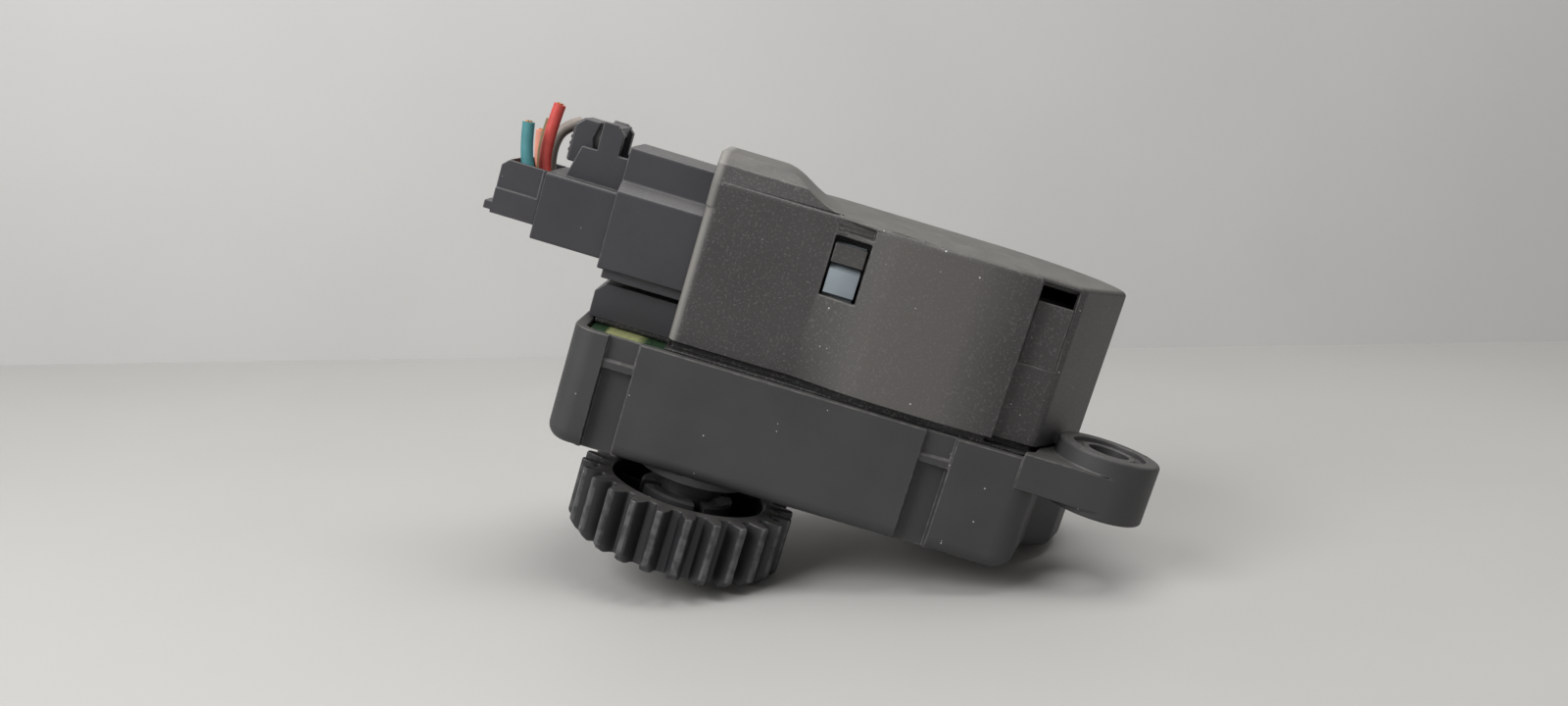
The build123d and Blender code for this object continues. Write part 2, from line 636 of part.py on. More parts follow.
def nodes():
    """Every node of the model by name."""
    found = {
        "lower_casing": lower_casing(),
        "upper_casing": upper_casing(),
        "gear_carrier": gear_carrier(),
        "header_shell": header_shell(),
        "header_pins": header_pins(),
        "circuit_board": circuit_board(),
        "board_parts": board_parts(),
        "motor_base": motor_base(),
        "motor_can": motor_can(),
        "coil_bobbins": coil_bobbins(),
        "coil_windings": coil_windings(),
        "pole_plates": pole_plates(),
        "motor_bushings": motor_bushings(),
        "motor_terminals": motor_terminals(),
        "first_axle": axle(FIRST),
        "second_axle": axle(SECOND),
        "output_bushing": output_bushing(),
        "thrust_washer": thrust_washer(),
        "rotor_magnet": rotor_magnet(),
        "rotor_hub": rotor_hub(),
        "rotor_shaft": rotor_shaft(),
        "motor_pinion": motor_pinion(),
        "first_wheel": first_wheel(),
        "second_wheel": second_wheel(),
        "output_wheel": output_wheel(),
        "output_gear": output_gear(),
        "plug_housing": plug_housing(),
        "plug_terminals": plug_terminals(),
        "plug_cover": plug_cover(),
        "latch_lever": latch_lever(),
    }
    for number, name in enumerate(("wire_teal", "wire_red", "wire_brown", "wire_grey",
                                   "wire_orange")):
        found[name] = wire(name, number)
    return found


os.makedirs("parts", exist_ok=True)
for name, shape in nodes().items():
    solids = shape if isinstance(shape, list) else [shape]
    export_step(Compound(children=[s for part in solids for s in part.solids()]),
                f"parts/{name}.step")
print("first axis", [round(v, 3) for v in FIRST], "second axis", [round(v, 3) for v in SECOND])
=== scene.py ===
import json
import logging
import math
from dataclasses import dataclass, field
from enum import Enum
from typing import Any, Iterable, Optional, Sequence

import bmesh
import bpy
from mathutils import Matrix, Vector
from mathutils.bvhtree import BVHTree


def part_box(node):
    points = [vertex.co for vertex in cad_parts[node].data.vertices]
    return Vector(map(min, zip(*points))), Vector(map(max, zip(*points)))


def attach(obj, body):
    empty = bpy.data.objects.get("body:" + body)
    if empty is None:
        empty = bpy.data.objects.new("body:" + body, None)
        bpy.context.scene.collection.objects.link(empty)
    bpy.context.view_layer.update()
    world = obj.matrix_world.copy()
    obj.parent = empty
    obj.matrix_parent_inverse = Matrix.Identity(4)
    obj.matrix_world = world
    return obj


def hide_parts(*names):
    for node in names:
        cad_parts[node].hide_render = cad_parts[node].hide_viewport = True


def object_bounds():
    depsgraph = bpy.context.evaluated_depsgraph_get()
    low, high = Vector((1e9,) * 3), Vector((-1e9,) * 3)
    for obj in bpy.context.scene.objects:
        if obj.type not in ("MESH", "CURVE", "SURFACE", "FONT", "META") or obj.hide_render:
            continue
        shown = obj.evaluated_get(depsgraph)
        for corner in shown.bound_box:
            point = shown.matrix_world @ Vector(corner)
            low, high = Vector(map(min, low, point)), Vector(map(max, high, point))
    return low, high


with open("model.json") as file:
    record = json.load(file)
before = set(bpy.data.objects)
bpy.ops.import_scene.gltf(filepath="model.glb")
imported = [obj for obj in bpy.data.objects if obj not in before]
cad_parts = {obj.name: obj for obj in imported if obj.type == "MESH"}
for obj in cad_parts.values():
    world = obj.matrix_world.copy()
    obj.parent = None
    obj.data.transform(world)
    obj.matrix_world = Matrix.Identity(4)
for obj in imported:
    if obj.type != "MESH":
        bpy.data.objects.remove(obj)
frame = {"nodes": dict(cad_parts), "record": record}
CAD_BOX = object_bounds()

# The looks of a motorised actuator head: two snapped casings over a geared motor, an outer
# spur gear below, and a plug with cut wires. Sizes are in millimetres and made metres with MM.

MM = 0.001
LOG = logging.getLogger("actuator_head")

Colour = tuple[float, float, float]
Place = tuple[float, float, float]


def mm(*values: float) -> tuple[float, ...]:
    """The values in metres."""
    return tuple(v * MM for v in values)


def linked(name: str, data: Any) -> bpy.types.Object:
    """New object of the scene that holds the data."""
    made = bpy.data.objects.new(name, data)
    bpy.context.scene.collection.objects.link(made)
    return made


# Node trees


def add_node(tree: bpy.types.NodeTree, kind: str, inputs: dict[Any, Any],
             settings: dict[str, Any]) -> bpy.types.Node:
    """Adds a node to a tree.

    Args:
        tree: The tree.
        kind: Blender's name for the kind of node.
        inputs: What each socket gets: one or several outputs, or a constant.
        settings: The node's own properties.

    Returns:
        The new node.
    """
    made = tree.nodes.new(kind)
    for name, value in settings.items():
        setattr(made, name, value)
    for socket, value in inputs.items():
        for each in value if isinstance(value, list) else [value]:
            if isinstance(each, bpy.types.NodeSocket):
                tree.links.new(each, made.inputs[socket])
            else:
                made.inputs[socket].default_value = each
    return made


class Shader:
    """Node tree of one material, with a short call for each node that the finishes use."""

    def __init__(self, name: str) -> None:
        """Starts an empty material.

        Args:
            name: The material's name.
        """
        self.material = bpy.data.materials.new(name)
        self.material.use_nodes = True
        self.tree = self.material.node_tree
        self.tree.nodes.clear()
        self.place = self.node("ShaderNodeTexCoord", {}).outputs["Object"]

    def node(self, kind: str, inputs: dict[Any, Any], **settings: Any) -> bpy.types.Node:
        """Adds a node, as add_node does."""
        return add_node(self.tree, kind, inputs, settings)

    def noise(self, size: float, detail: float = 2.0, stretch: Optional[Place] = None) -> Any:
        """Cloudy pattern.

        Args:
            size: Width of one cloud, in millimetres.
            detail: Number of finer layers.
            stretch: Scale of the pattern along each axis, where it isn't even.

        Returns:
            The pattern's value socket.
        """
        place = self.place
        if stretch:
            place = self.node("ShaderNodeMapping", {"Vector": place, "Scale": stretch}).outputs[0]
        inputs = {"Vector": place, "Scale": 1 / (size * MM), "Detail": detail}
        return self.node("ShaderNodeTexNoise", inputs).outputs["Fac"]

    def cells(self, size: float, feature: str = "F1") -> bpy.types.Node:
        """Pattern of cells of the given size in millimetres."""
        inputs = {"Vector": self.place, "Scale": 1 / (size * MM)}
        return self.node("ShaderNodeTexVoronoi", inputs, feature=feature)

    def fit(self, value: Any, low: float, high: float, start: float = 0.0, end: float = 1.0) -> Any:
        """Maps a value from low and high to start and end, held at its ends."""
        inputs = {"Value": value, "From Min": low, "From Max": high, "To Min": start, "To Max": end}
        return self.node("ShaderNodeMapRange", inputs).outputs[0]

    def sum(self, operation: str, first: Any, second: Any) -> Any:
        """Result of a sum of two values, such as MULTIPLY or ADD."""
        return self.node("ShaderNodeMath", {0: first, 1: second}, operation=operation).outputs[0]

    def mix(self, share: Any, first: Any, second: Any) -> Any:
        """Blends two colours.

        Args:
            share: Share of the second colour.
            first: First colour, or its socket.
            second: Second colour, or its socket.

        Returns:
            The colour's socket.
        """
        first, second = ((*c, 1.0) if isinstance(c, tuple) else c for c in (first, second))
        inputs = {0: share, 6: first, 7: second}
        return self.node("ShaderNodeMix", inputs, data_type="RGBA").outputs[2]

    def facing(self, axis: str) -> Any:
        """How far the surface faces along an axis, from -1 to 1."""
        normal = self.node("ShaderNodeNewGeometry", {}).outputs["Normal"]
        return self.node("ShaderNodeSeparateXYZ", {0: normal}).outputs[axis]

    def bump(self, layers: Sequence[tuple[Any, float]]) -> Any:
        """Relief from several patterns, each with its height in millimetres."""
        normal = None
        for value, height in layers:
            inputs = {"Height": value, "Strength": 1.0, "Distance": height * MM}
            if normal is not None:
                inputs["Normal"] = normal
            normal = self.node("ShaderNodeBump", inputs).outputs["Normal"]
        return normal

    def close(self, inputs: dict[str, Any]) -> bpy.types.Material:
        """Ends the tree in the main shader.

        Args:
            inputs: What the main shader's sockets get.

        Returns:
            The finished material.
        """
        shader = self.node("ShaderNodeBsdfPrincipled", inputs)
        self.node("ShaderNodeOutputMaterial", {"Surface": shader.outputs[0]})
        return self.material


@dataclass(frozen=True)
class Patch:
    """Stretch of a finish along the object, lighter or darker than the rest, with soft ends. On the cover
    it paints highlights and shade; on the board it marks bare laminate.

    The values are in millimetres: where it fades in, and where it fades out.
    """

    axis: str
    fade_in: tuple[float, float]
    fade_out: tuple[float, float]
    tone: Colour
    share: float
    front_only: bool = False

    def mask(self, s: Shader) -> Any:
        """Share of the patch's tone at each place.

        Args:
            s: The finish's shader.

        Returns:
            The share's socket.
        """
        place = s.node("ShaderNodeSeparateXYZ", {0: s.place}).outputs[self.axis]
        (a, b), (c, d) = mm(*self.fade_in), mm(*self.fade_out)
        shown = s.sum("MULTIPLY", s.fit(place, a, b), s.fit(place, c, d, self.share, 0.0))
        if self.front_only:
            shown = s.sum("MULTIPLY", shown, s.fit(s.facing("Y"), -0.80, -0.97))
        return shown


class Dusting(Enum):
    """How dusty a finish is: share of the film on top, and share of the cells with a speck."""

    CLEAN = (0.0, 0.0)
    LIGHT = (0.10, 0.42)
    SETTLED = (0.26, 0.55)

    @property
    def film(self) -> float:
        """Share of the film on faces that look up."""
        return self.value[0]

    @property
    def specks(self) -> float:
        """Share of the cells that hold a speck."""
        return self.value[1]


# Finishes


@dataclass(frozen=True)
class MouldedPlastic:
    """Injection-moulded plastic with a fine spark-eroded grain, worn edges and dust; some finishes add
    painted glints, highlights and shade.
    """

    name: str
    tone: Colour
    roughness: float
    grain: float = 0.17
    grain_height: float = 0.010
    sparkle: float = 0.0
    mottle: float = 0.10
    rubbed: Colour = (0.16, 0.155, 0.15)
    rub: float = 0.35
    dust: Dusting = Dusting.LIGHT
    specular: float = 0.5
    dust_tone: Colour = (0.36, 0.34, 0.30)
    speck_tone: Colour = (0.62, 0.61, 0.58)
    speck_cell: float = 1.9
    patches: tuple[Patch, ...] = ()

    def make(self) -> bpy.types.Material:
        """Builds the material."""
        s = Shader(self.name)
        grain = s.noise(self.grain, 1.5)
        clouds = s.noise(11.0, 3.0)
        low = tuple(c * (1 - self.mottle) for c in self.tone)
        high = tuple(c * (1 + self.mottle) for c in self.tone)
        colour = s.mix(s.fit(clouds, 0.35, 0.65), low, high)
        worn = s.node("ShaderNodeAttribute", {}, attribute_name="wear").outputs["Fac"]
        patchy = s.fit(s.noise(1.3, 3.0), 0.40, 0.62, 0.15, 1.0)
        worn = s.sum("MULTIPLY", worn, patchy)
        colour = s.mix(s.sum("MULTIPLY", worn, self.rub), colour, self.rubbed)
        roughness = s.fit(grain, 0.3, 0.7, self.roughness - 0.06, self.roughness + 0.06)
        if self.dust.film:
            up = s.fit(s.facing("Z"), 0.45, 0.95)
            film = s.sum("MULTIPLY", up, s.fit(s.noise(3.4, 5.0), 0.3, 0.75, 0.35, 1.0))
            film = s.sum("MULTIPLY", film, self.dust.film)
            colour = s.mix(film, colour, self.dust_tone)
            roughness = s.sum("ADD", roughness, s.sum("MULTIPLY", film, 0.5))
        # Painted highlights and painted shade, from the finish's patches.
        for patch in self.patches:
            colour = s.mix(patch.mask(s), colour, patch.tone)
        # Painted glints: light flecks of the worn-edge tone mixed into the colour along the grain.
        if self.sparkle:
            glint = s.fit(s.noise(self.grain * 2.1, 1.0), 0.57, 0.68, 0.0, self.sparkle)
            colour = s.mix(glint, colour, self.rubbed)
        if self.dust.specks:
            colour = s.mix(self._specks(s), colour, self.speck_tone)
        relief = s.bump([(grain, self.grain_height), (s.noise(2.6, 2.0), 0.012)])
        return s.close({"Base Color": colour, "Roughness": roughness, "Normal": relief,
                        "Specular IOR Level": self.specular})

    def _specks(self, s: Shader) -> Any:
        """Mask of small scattered specks of dust."""
        cells = s.cells(self.speck_cell)
        parts = s.node("ShaderNodeSeparateColor", {0: cells.outputs["Color"]}).outputs
        chosen = s.fit(parts[0], self.dust.specks, self.dust.specks - 0.02)
        reach = s.fit(parts[1], 0.0, 1.0, 0.02, 0.075)
        near = s.sum("LESS_THAN", cells.outputs["Distance"], reach)
        return s.sum("MULTIPLY", s.sum("MULTIPLY", near, chosen), 0.75)


@dataclass(frozen=True)
class SheetMetal:
    """Bare or plated metal with fine drawing marks and a broad stain."""

    name: str
    tone: Colour
    roughness: float
    marks: float = 0.12
    metallic: float = 1.0
    stain: Colour = (0.20, 0.18, 0.16)

    def make(self) -> bpy.types.Material:
        """Builds the material."""
        s = Shader(self.name)
        marks = s.noise(self.marks, 2.0, (0.25, 1.0, 3.0))
        stain = s.fit(s.noise(3.0, 4.0), 0.52, 0.80, 0.0, 0.5)
        roughness = s.fit(marks, 0.25, 0.75, self.roughness - 0.08, self.roughness + 0.10)
        return s.close({"Base Color": s.mix(stain, self.tone, self.stain), "Roughness": roughness,
                        "Metallic": self.metallic, "Normal": s.bump([(marks, 0.004)])})


@dataclass(frozen=True)
class SinteredMetal:
    """Pressed and sintered powder, with open pores."""

    name: str
    tone: Colour
    roughness: float = 0.48
    metallic: float = 1.0

    def make(self) -> bpy.types.Material:
        """Builds the material."""
        s = Shader(self.name)
        pores = s.fit(s.cells(0.22).outputs["Distance"], 0.05, 0.35)
        dark = tuple(c * 0.35 for c in self.tone)
        return s.close({"Base Color": s.mix(pores, dark, self.tone), "Metallic": self.metallic,
                        "Roughness": s.fit(pores, 0.0, 1.0, 0.8, self.roughness),
                        "Normal": s.bump([(pores, 0.02)])})


@dataclass(frozen=True)
class WoundWire:
    """Layers of thin enamelled wire wound on a bobbin."""

    name: str
    tone: Colour = (0.78, 0.34, 0.13)
    pitch: float = 0.19

    def make(self) -> bpy.types.Material:
        """Builds the material."""
        s = Shader(self.name)
        inputs = {"Vector": s.place, "Scale": 1 / (self.pitch * MM) / math.tau * 2}
        turns = s.node("ShaderNodeTexWave", inputs, bands_direction="Z").outputs["Fac"]
        # Painted shade: darker copper in the grooves between turns.
        dark = tuple(c * 0.45 for c in self.tone)
        colour = s.mix(s.fit(turns, 0.1, 0.7), dark, self.tone)
        return s.close({"Base Color": colour, "Metallic": 0.9, "Coat Weight": 0.6,
                        "Coat Roughness": 0.12,
                        "Roughness": s.fit(s.noise(1.0), 0.3, 0.7, 0.22, 0.36),
                        "Normal": s.bump([(turns, 0.05)])})


@dataclass(frozen=True)
class SolderMask:
    """Circuit board: green mask over copper runs on the faces, bare glass laminate at the edge."""

    name: str
    mask: Colour = (0.012, 0.030, 0.014)
    runs: Colour = (0.022, 0.055, 0.024)
    laminate: Colour = (0.42, 0.44, 0.20)
    bare: Patch = Patch("X", (-17.6, -17.0), (-12.8, -11.4), (0.42, 0.44, 0.20), 0.85)

    def make(self) -> bpy.types.Material:
        """Builds the material."""
        s = Shader(self.name)
        cells = s.cells(2.2, "DISTANCE_TO_EDGE").outputs["Distance"]
        runs = s.fit(cells, 0.05, 0.07)
        face = s.fit(s.sum("ABSOLUTE", s.facing("Z"), 0.0), 0.6, 0.8)
        weave = s.fit(s.noise(0.35, 1.0, (1.0, 1.0, 4.0)), 0.35, 0.65)
        rim = s.mix(weave, tuple(c * 0.7 for c in self.laminate), self.laminate)
        face_colour = s.mix(self.bare.mask(s), s.mix(runs, self.mask, self.runs), rim)
        colour = s.mix(face, rim, face_colour)
        return s.close({"Base Color": colour, "Roughness": s.fit(face, 0.0, 1.0, 0.7, 0.28),
                        "Normal": s.bump([(runs, 0.03)])})


@dataclass(frozen=True)
class Insulation:
    """Soft vinyl wire insulation with a faint extrusion line and handling grime."""

    name: str
    tone: Colour
    roughness: float = 0.42

    def make(self) -> bpy.types.Material:
        """Builds the material."""
        s = Shader(self.name)
        grime = s.fit(s.noise(1.6, 4.0), 0.45, 0.75, 0.0, 0.45)
        pale = tuple(min(1.0, c * 1.12 + 0.012) for c in self.tone)
        clean = s.mix(s.fit(s.noise(0.8, 2.0), 0.35, 0.65), self.tone, pale)
        colour = s.mix(grime, clean, tuple(c * 0.62 for c in self.tone))
        lines = s.noise(0.25, 2.0, (0.3, 1.0, 0.3))
        return s.close({"Base Color": colour, "Normal": s.bump([(lines, 0.008)]),
                        "Roughness": s.fit(grime, 0.0, 0.45, self.roughness, 0.62),
                        "Subsurface Weight": 0.06, "Subsurface Radius": (0.6 * MM,) * 3})


@dataclass(frozen=True)
class PaintedSheet:
    """Pale matt sheet of the stage, seen from its front only."""

    name: str
    tone: Colour
    roughness: float = 0.55

    def make(self) -> bpy.types.Material:
        """Builds the material."""
        s = Shader(self.name)
        smudge = s.fit(s.noise(60.0, 4.0), 0.35, 0.7, 0.0, 1.0)
        low = tuple(c * 0.965 for c in self.tone)
        shader = s.node("ShaderNodeBsdfPrincipled", {
            "Base Color": s.mix(smudge, self.tone, low), "Roughness": self.roughness,
            "Specular IOR Level": 0.35, "Normal": s.bump([(s.noise(1.2, 2.0), 0.01)])})
        back = s.node("ShaderNodeNewGeometry", {}).outputs["Backfacing"]
        clear = s.node("ShaderNodeBsdfTransparent", {}).outputs[0]
        one_sided = s.node("ShaderNodeMixShader", {0: back, 1: shader.outputs[0], 2: clear})
        s.node("ShaderNodeOutputMaterial", {"Surface": one_sided.outputs[0]})
        return s.material


# Painted shade: near-black band low on the cover, in the joint between the casings where the cover's
# shadow falls.
JOINT_SHADE = Patch("Z", (14.0, 14.1), (18.05, 18.3), (0.005, 0.005, 0.005), 0.96)
# Painted reflection: lighter tone on the cover's front faces between x 9 and 38 mm, where the window's
# reflection falls.
FRONT_SHEEN = Patch("X", (9.2, 18.0), (30.0, 38.0), (0.098, 0.092, 0.088), 0.8, front_only=True)
# Painted highlight: light strip along the cover's rounded left corner.
CORNER_SHINE = Patch("X", (-8.58, -8.35), (-8.0, -7.3), (0.30, 0.29, 0.27), 0.62)

FINISHES = (
    MouldedPlastic("casing_plastic", (0.036, 0.036, 0.037), 0.56, grain_height=0.012),
    MouldedPlastic("cover_plastic", (0.040, 0.039, 0.039), 0.48, grain=0.15, sparkle=0.30,
                   grain_height=0.016, dust=Dusting.SETTLED,
                   patches=(FRONT_SHEEN, CORNER_SHINE, JOINT_SHADE)),
    MouldedPlastic("connector_plastic", (0.036, 0.035, 0.040), 0.40, grain=0.3,
                   grain_height=0.005, rub=0.28, speck_cell=3.4),
    MouldedPlastic("plug_plastic", (0.034, 0.033, 0.039), 0.42, grain=0.3, grain_height=0.005,
                   rub=0.25, speck_cell=3.8),
    MouldedPlastic("gear_plastic", (0.022, 0.022, 0.024), 0.43, grain=0.4, grain_height=0.004,
                   rubbed=(0.13, 0.13, 0.135), rub=0.5, speck_cell=2.6),
    MouldedPlastic("carrier_plastic", (0.24, 0.28, 0.31), 0.38, grain=0.5, grain_height=0.006,
                   mottle=0.16, rubbed=(0.42, 0.46, 0.48), speck_cell=1.3,
                   speck_tone=(0.03, 0.03, 0.03)),
    MouldedPlastic("wheel_plastic", (0.60, 0.57, 0.50), 0.36, grain=0.5, grain_height=0.003,
                   rubbed=(0.68, 0.66, 0.60), dust=Dusting.CLEAN),
    MouldedPlastic("chip_black", (0.018, 0.018, 0.019), 0.55, grain=0.12, dust=Dusting.CLEAN),
    MouldedPlastic("magnet", (0.045, 0.045, 0.048), 0.42, grain=0.25, sparkle=0.25,
                   dust=Dusting.CLEAN),
    MouldedPlastic("bobbin_plastic", (0.03, 0.045, 0.075), 0.45, dust=Dusting.CLEAN),
    SolderMask("board"),
    SheetMetal("tin", (0.72, 0.71, 0.68), 0.26),
    SheetMetal("steel", (0.58, 0.58, 0.57), 0.30),
    SheetMetal("dark_steel", (0.07, 0.07, 0.075), 0.42, metallic=0.6),
    SinteredMetal("bronze", (0.52, 0.34, 0.17)),
    WoundWire("copper"),
    Insulation("teal_insulation", (0.055, 0.215, 0.235)),
    Insulation("red_insulation", (0.50, 0.055, 0.045)),
    Insulation("brown_insulation", (0.17, 0.12, 0.055)),
    Insulation("grey_insulation", (0.20, 0.175, 0.155)),
    Insulation("orange_insulation", (0.66, 0.27, 0.19)),
)


class FinishRack:
    """Every finish of the object by its material slot, each material made once."""

    def __init__(self) -> None:
        """Makes the materials."""
        self.materials = {finish.name: finish.make() for finish in FINISHES}
        self.slots = {part["node"]: part["material_slot"] for part in frame["record"]["subparts"]}

    def dress(self, piece: bpy.types.Object, slot: str) -> bpy.types.Object:
        """Gives a piece its only material.

        Args:
            piece: The piece.
            slot: Material slot of the record.

        Returns:
            The same piece.
        """
        piece.data.materials.clear()
        piece.data.materials.append(self.materials[slot])
        return piece

    def dress_carried(self, shown: Iterable[str]) -> None:
        """Gives the CAD nodes that stay visible their materials."""
        for node in shown:
            self.dress(frame["nodes"][node], self.slots[node])


# Making pieces


def add_piece(name: str, mesh: bpy.types.Mesh, body: str, slot: str, rack: FinishRack,
              replaced: Sequence[str] = ()) -> bpy.types.Object:
    """Puts a finished mesh in the scene as a piece of the object.

    Args:
        name: The piece's name.
        mesh: Its mesh, in place.
        body: CAD body that it moves with.
        slot: Material slot that it takes its finish from.
        rack: The finishes.
        replaced: CAD nodes that it stands for.

    Returns:
        The piece.
    """
    mesh.name = name
    piece = linked(name, mesh)
    rack.dress(piece, slot)
    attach(piece, body)
    if replaced:
        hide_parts(*replaced)
    LOG.info("%s: %d faces on %s", name, len(mesh.polygons), body)
    return piece


def settled(mesh: bpy.types.Mesh, angle: float = 35.0) -> bpy.types.Mesh:
    """Shades a mesh smooth with flat faces kept flat.

    Args:
        mesh: The mesh.
        angle: Edges sharper than this many degrees stay sharp.

    Returns:
        A new mesh with its normals set.
    """
    mesh.shade_smooth()
    mesh.set_sharp_from_angle(angle=math.radians(angle))
    holder = linked("holder", mesh)
    weighted = holder.modifiers.new("flat", "WEIGHTED_NORMAL")
    weighted.keep_sharp = True
    made = evaluated_mesh(holder)
    bpy.data.objects.remove(holder)
    return made


def evaluated_mesh(holder: bpy.types.Object) -> bpy.types.Mesh:
    """Plain mesh of an object with its modifiers applied."""
    graph = bpy.context.evaluated_depsgraph_get()
    graph.update()
    return bpy.data.meshes.new_from_object(holder.evaluated_get(graph), depsgraph=graph,
                                           preserve_all_data_layers=True)


@dataclass
class Softened:
    """CAD node whose corners get the small radius that a mould gives them."""

    node: str
    radius: float = 0.22
    corner: float = 30.0
    segments: int = 3
    flat: float = 1.0

    def build(self) -> bpy.types.Mesh:
        """Copies the node's mesh, joins its triangles and rounds its corners."""
        work = bmesh.new()
        work.from_mesh(frame["nodes"][self.node].data)
        bmesh.ops.remove_doubles(work, verts=work.verts, dist=0.001 * MM)
        surface = BVHTree.FromBMesh(work)
        bmesh.ops.dissolve_limit(work, angle_limit=math.radians(self.flat), verts=work.verts,
                                 edges=work.edges, delimit=set())
        wear = work.faces.layers.float.new("wear")
        limit = math.radians(self.corner)
        corners = [e for e in work.edges if e.is_manifold and e.calc_face_angle() > limit]
        rounded = bmesh.ops.bevel(work, geom=corners, offset=self.radius * MM, profile=0.5,
                                  offset_type="OFFSET", segments=self.segments, affect="EDGES",
                                  clamp_overlap=False, miter_outer="ARC", loop_slide=True)
        for face in rounded["faces"]:
            face[wear] = 1.0
        self._pull_back(work, surface)
        mesh = bpy.data.meshes.new(self.node)
        work.to_mesh(mesh)
        work.free()
        return settled(mesh)

    def _pull_back(self, work: bmesh.types.BMesh, surface: BVHTree) -> None:
        """Moves points that a tight corner threw off the node's surface back onto it.

        Args:
            work: The rounded mesh.
            surface: The node's own surface.
        """
        reach = 0.45 * self.radius * MM
        for point in work.verts:
            nearest, _, _, distance = surface.find_nearest(point.co)
            if distance > reach:
                point.co = nearest

    def place(self, name: str, body: str, slot: str, rack: FinishRack) -> bpy.types.Object:
        """Builds the piece and stands it in for its node."""
        return add_piece(name, self.build(), body, slot, rack, (self.node,))


class Recipe:
    """Geometry Nodes tree with named inputs, run once on a seed mesh."""

    KINDS = {int: "NodeSocketInt", float: "NodeSocketFloat", tuple: "NodeSocketVector"}

    def __init__(self, name: str) -> None:
        """Starts a tree with a geometry input and output.

        Args:
            name: The tree's name.
        """
        self.tree = bpy.data.node_groups.new(name, "GeometryNodeTree")
        face = self.tree.interface
        face.new_socket("Geometry", in_out="INPUT", socket_type="NodeSocketGeometry")
        face.new_socket("Geometry", in_out="OUTPUT", socket_type="NodeSocketGeometry")
        self.start = self.tree.nodes.new("NodeGroupInput")
        self.values: dict[str, Any] = {}

    @property
    def seed(self) -> Any:
        """Socket of the seed mesh."""
        return self.start.outputs["Geometry"]

    def size(self, name: str, value: Any) -> Any:
        """Adds a named input.

        Args:
            name: The input's name.
            value: What it is set to; its type gives the input's kind.

        Returns:
            The input's socket.
        """
        kind = self.KINDS[type(value)]
        socket = self.tree.interface.new_socket(name, in_out="INPUT", socket_type=kind)
        self.values[socket.identifier] = value
        return self.start.outputs[name]

    def node(self, kind: str, inputs: dict[Any, Any], **settings: Any) -> Any:
        """First output of a new node, whose kind is given without its Blender prefix."""
        prefix = "" if kind.startswith(("Shader", "Function")) else "GeometryNode"
        return add_node(self.tree, prefix + kind, inputs, settings).outputs[0]

    def sum(self, operation: str, first: Any, second: Any) -> Any:
        """Result of a sum of two values."""
        return self.node("ShaderNodeMath", {0: first, 1: second}, operation=operation)

    def round_about(self, shape: Any, count: Any, first: Any) -> Any:
        """Copies of a shape spaced evenly about the Z axis.

        Args:
            shape: Socket of the shape, as it stands on the X axis.
            count: Number of copies.
            first: Angle of the first copy, in radians.

        Returns:
            Socket of the realised copies.
        """
        step = self.sum("DIVIDE", math.tau, count)
        turn = self.sum("MULTIPLY", self.node("InputIndex", {}), step)
        turn = self.node("ShaderNodeCombineXYZ", {2: self.sum("ADD", turn, first)})
        spots = self.node("Points", {"Count": count})
        copies = self.node("InstanceOnPoints", {"Points": spots, "Instance": shape,
                                                "Rotation": turn})
        return self.node("RealizeInstances", {0: copies})

    def in_a_row(self, shape: Any, count: Any, step: Any) -> Any:
        """Copies of a shape in a row.

        Args:
            shape: Socket of the shape, as the first one lies.
            count: Number of copies.
            step: Way from one to the next.

        Returns:
            Socket of the realised copies.
        """
        row = self.node("MeshLine", {"Count": count, "Offset": step})
        copies = self.node("InstanceOnPoints", {"Points": row, "Instance": shape})
        return self.node("RealizeInstances", {0: copies})

    def bar(self, name: str, size: Place, centre: Place) -> Any:
        """Box with named inputs for its size and centre, in metres."""
        cube = self.node("MeshCube", {"Size": self.size(f"{name} size", size)})
        return self.node("Transform", {"Geometry": cube,
                                       "Translation": self.size(f"{name} centre", centre)})

    def run(self, shape: Any, material: bpy.types.Material,
            seed: Optional[bpy.types.Mesh] = None) -> bpy.types.Mesh:
        """Ends the tree and makes its result a plain mesh.

        Args:
            shape: Socket of the result.
            material: The result's material.
            seed: Mesh that the tree starts from, where it needs one.

        Returns:
            The mesh.
        """
        real = self.node("RealizeInstances", {0: shape})
        dressed = self.node("SetMaterial", {"Geometry": real, "Material": material})
        end = self.tree.nodes.new("NodeGroupOutput")
        self.tree.links.new(dressed, end.inputs["Geometry"])
        holder = linked("holder", seed if seed else bpy.data.meshes.new("empty"))
        modifier = holder.modifiers.new("recipe", "NODES")
        modifier.node_group = self.tree
        for identifier, value in self.values.items():
            modifier[identifier] = value
        mesh = evaluated_mesh(holder)
        holder.modifiers.clear()
        bpy.data.objects.remove(holder)
        return mesh


def closed_rings(rings: Sequence[Sequence[Vector]], loop: bool, caps: bool) -> bpy.types.Mesh:
    """Mesh of quads between neighbouring rings of points.

    Args:
        rings: The rings, each with the same number of points.
        loop: Whether each ring is closed.
        caps: Whether the first and last rings are filled; else they join each other.

    Returns:
        The mesh, with its faces outward where it is closed.
    """
    work = bmesh.new()
    rows = [[work.verts.new(point) for point in ring] for ring in rings]
    pairs = list(zip(rows, rows[1:])) + ([] if caps else [(rows[-1], rows[0])])
    for low, high in pairs:
        count = len(low) if loop else len(low) - 1
        for i in range(count):
            j = (i + 1) % len(low)
            work.faces.new((low[i], low[j], high[j], high[i]))
    if caps:
        work.faces.new(rows[0][::-1])
        work.faces.new(rows[-1])
        bmesh.ops.recalc_face_normals(work, faces=work.faces)
    mesh = bpy.data.meshes.new("rings")
    work.to_mesh(mesh)
    work.free()
    return mesh


